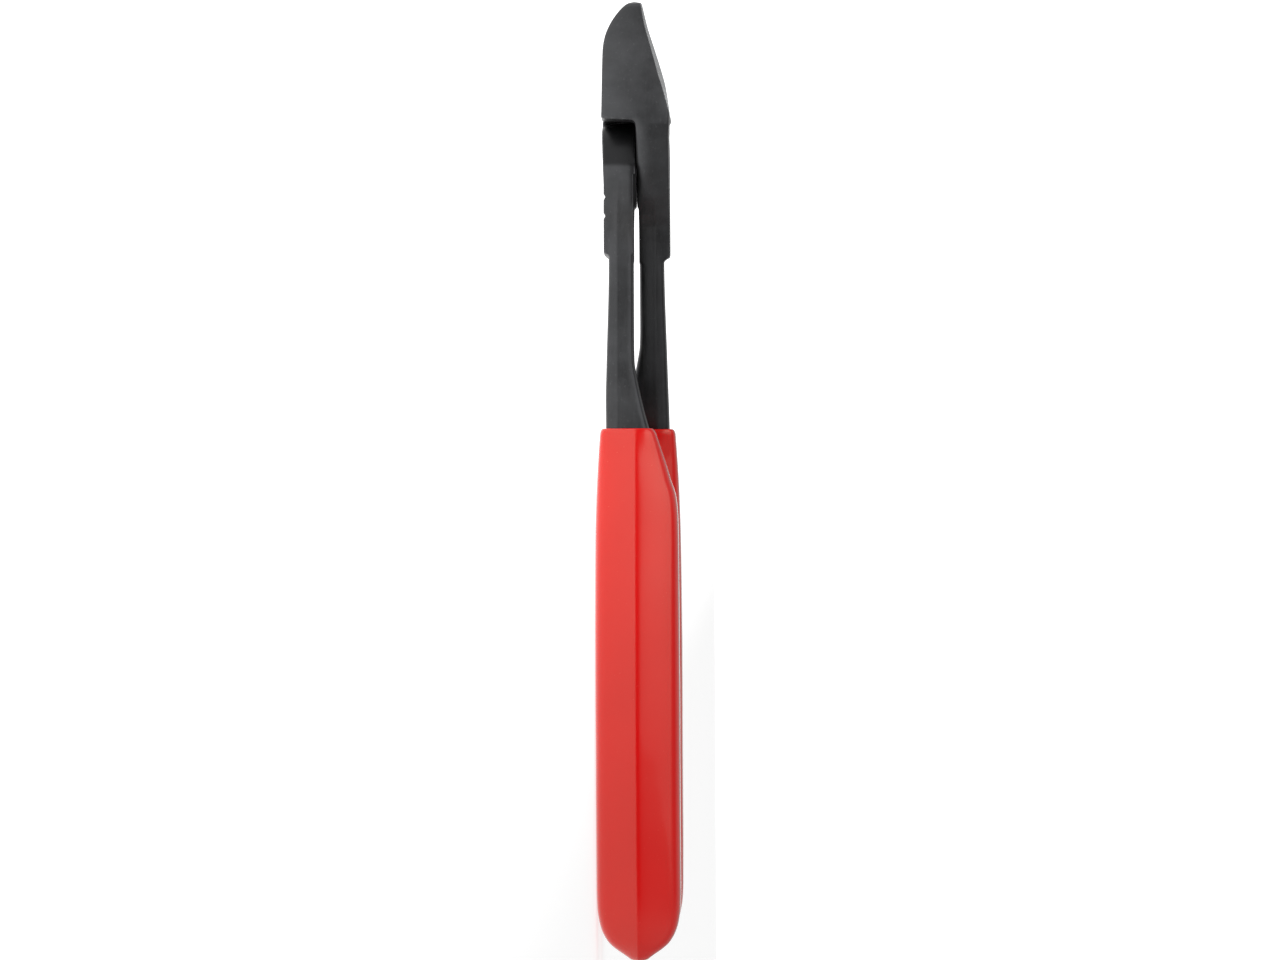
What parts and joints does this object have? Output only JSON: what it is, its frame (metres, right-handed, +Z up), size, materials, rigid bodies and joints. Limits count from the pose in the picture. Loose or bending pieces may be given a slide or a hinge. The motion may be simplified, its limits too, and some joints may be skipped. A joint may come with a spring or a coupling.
{
  "type": "diagonal cutting pliers",
  "caption": "Lap-joint diagonal cutting pliers with ground bevelled jaws, a flush pivot rivet, slim forged levers and dipped vinyl sleeves on the handles.",
  "frame": {"origin": "middle of the bounding box at the surface the pliers lie on, midway between the tip and the handle ends", "axes": "+X along the tool towards the tip, +Y towards the right lever's jaw (the way the jaws part), +Z up through the joint, out of the side with the ground cutting faces"},
  "size_m": [0.2, 0.0506, 0.0173],
  "materials": {
    "blackened_steel": "forged and blackened, satin, with the cutting faces ground bright",
    "rivet_steel": "machined flush",
    "red_vinyl": "glossy dipped vinyl"
  },
  "bodies": {
    "right_half": {"right_lever": "blackened_steel", "right_grip_sleeve": "red_vinyl", "pivot_rivet": "rivet_steel"},
    "left_half": {"left_lever": "blackened_steel", "left_grip_sleeve": "red_vinyl"}
  },
  "joints": [
    {"name": "pivot", "type": "hinge", "parent": "right_half", "child": "left_half", "pos_m": [0.066, 0, 0.00865], "axis": [0, 0, -1], "range_deg": [0, 32]}
  ]
}
